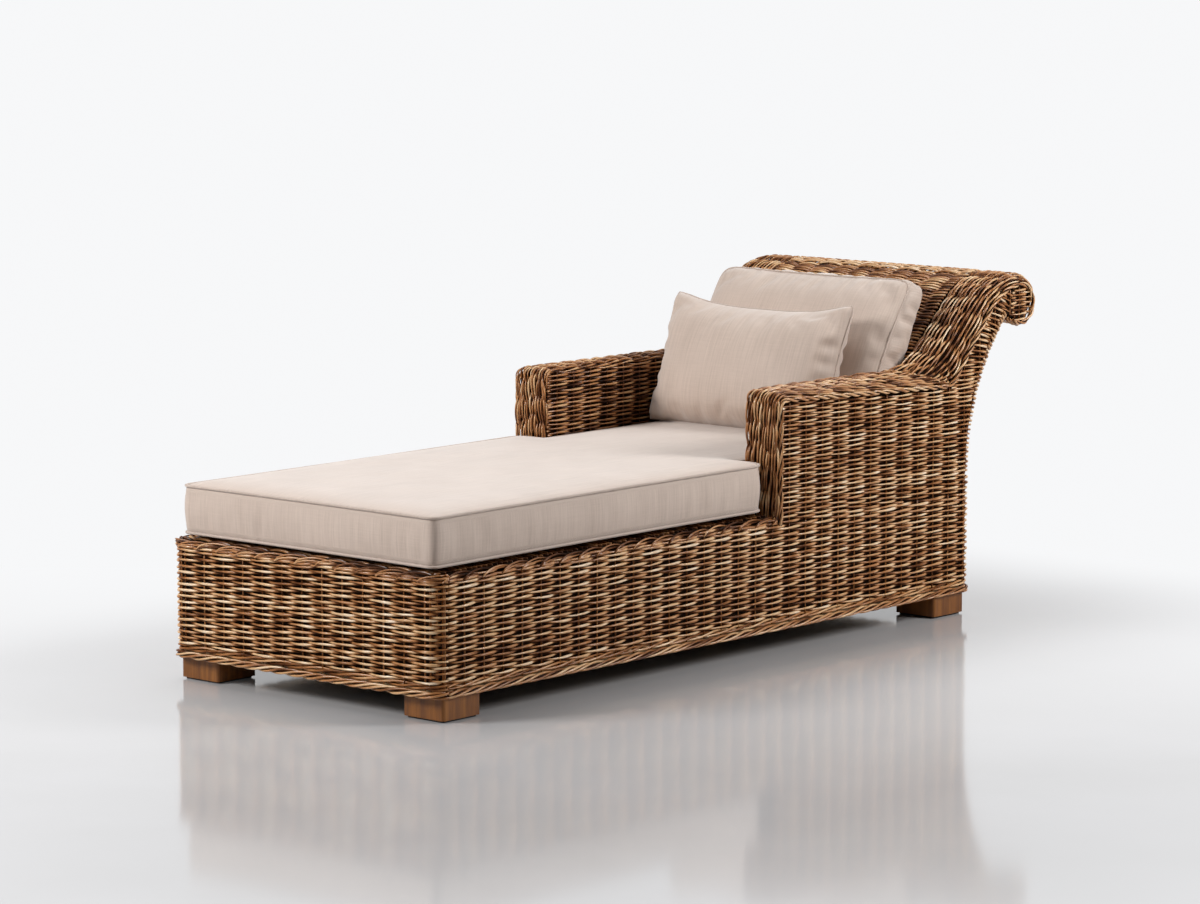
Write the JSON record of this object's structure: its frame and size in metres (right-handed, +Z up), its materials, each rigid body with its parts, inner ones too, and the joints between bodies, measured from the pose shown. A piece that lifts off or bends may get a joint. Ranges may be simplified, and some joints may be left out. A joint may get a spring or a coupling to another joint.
{
  "type": "rattan sun lounger",
  "caption": "Woven rattan chaise longue with sweeping arms, a scroll-rolled back, timber feet, a seat cushion, a back cushion and a lumbar pillow.",
  "frame": {"origin": "on the floor, under the middle of the object's box", "axes": "+Z up, +Y towards the rolled back, +X to the right of a person lying in it"},
  "size_m": [0.814, 2.116, 0.801],
  "materials": {
    "rattan_weave": "satin",
    "rattan_braid": "satin",
    "rattan_pole": "satin",
    "frame_timber": "matt",
    "foot_timber": "satin",
    "glide": "matt",
    "steel": "brushed",
    "linen": "matt",
    "linen_piping": "matt"
  },
  "bodies": {
    "lounger": {"foot_front_left": "foot_timber", "foot_front_right": "foot_timber", "foot_rear_left": "foot_timber", "foot_rear_right": "foot_timber", "glides": "glide", "foot_bolts": "steel", "corner_posts": "frame_timber", "lower_rail_front": "frame_timber", "lower_rail_rear": "frame_timber", "lower_rails_side": "frame_timber", "upper_rail_front": "frame_timber", "upper_rail_rear": "frame_timber", "upper_rail_left": "frame_timber", "upper_rail_right": "frame_timber", "deck_spine": "frame_timber", "deck_slats": "frame_timber", "side_pole_left": "rattan_pole", "side_pole_right": "rattan_pole", "back_pole_left": "rattan_pole", "back_pole_right": "rattan_pole", "back_rail_poles": "rattan_pole", "roll_pole": "rattan_pole", "scroll_discs": "frame_timber", "seat_deck": "rattan_weave", "foot_panel": "rattan_weave", "base_side_left": "rattan_weave", "base_side_right": "rattan_weave", "rear_panel_lower": "rattan_weave", "rear_panel_upper": "rattan_weave", "inner_back": "rattan_weave", "roll_cover": "rattan_weave", "arm_outer_left": "rattan_weave", "arm_outer_right": "rattan_weave", "arm_inner_left": "rattan_weave", "arm_inner_right": "rattan_weave", "arm_band_left": "rattan_braid", "arm_band_right": "rattan_braid", "wing_band_left": "rattan_braid", "wing_band_right": "rattan_braid", "arm_cane_left": "rattan_braid", "arm_cane_right": "rattan_braid", "top_border_foot": "rattan_braid", "top_border_left": "rattan_braid", "top_border_right": "rattan_braid", "bottom_border_front": "rattan_braid", "bottom_border_rear": "rattan_braid", "bottom_borders_side": "rattan_braid"},
    "seat_cushion": {"seat_cushion": "linen", "seat_piping": "linen_piping"},
    "back_cushion": {"back_cushion": "linen", "back_piping": "linen_piping"},
    "lumbar_pillow": {"lumbar_pillow": "linen"}
  },
  "joints": [
    {"name": "seat_cushion_lift", "type": "slide", "parent": "lounger", "child": "seat_cushion", "axis": [0, 0, 1], "range_m": [0, 0.3]},
    {"name": "back_cushion_lift", "type": "slide", "parent": "seat_cushion", "child": "back_cushion", "axis": [0, 0, 1], "range_m": [0, 0.3]},
    {"name": "lumbar_pillow_lift", "type": "slide", "parent": "back_cushion", "child": "lumbar_pillow", "axis": [0, 0, 1], "range_m": [0, 0.3]}
  ]
}
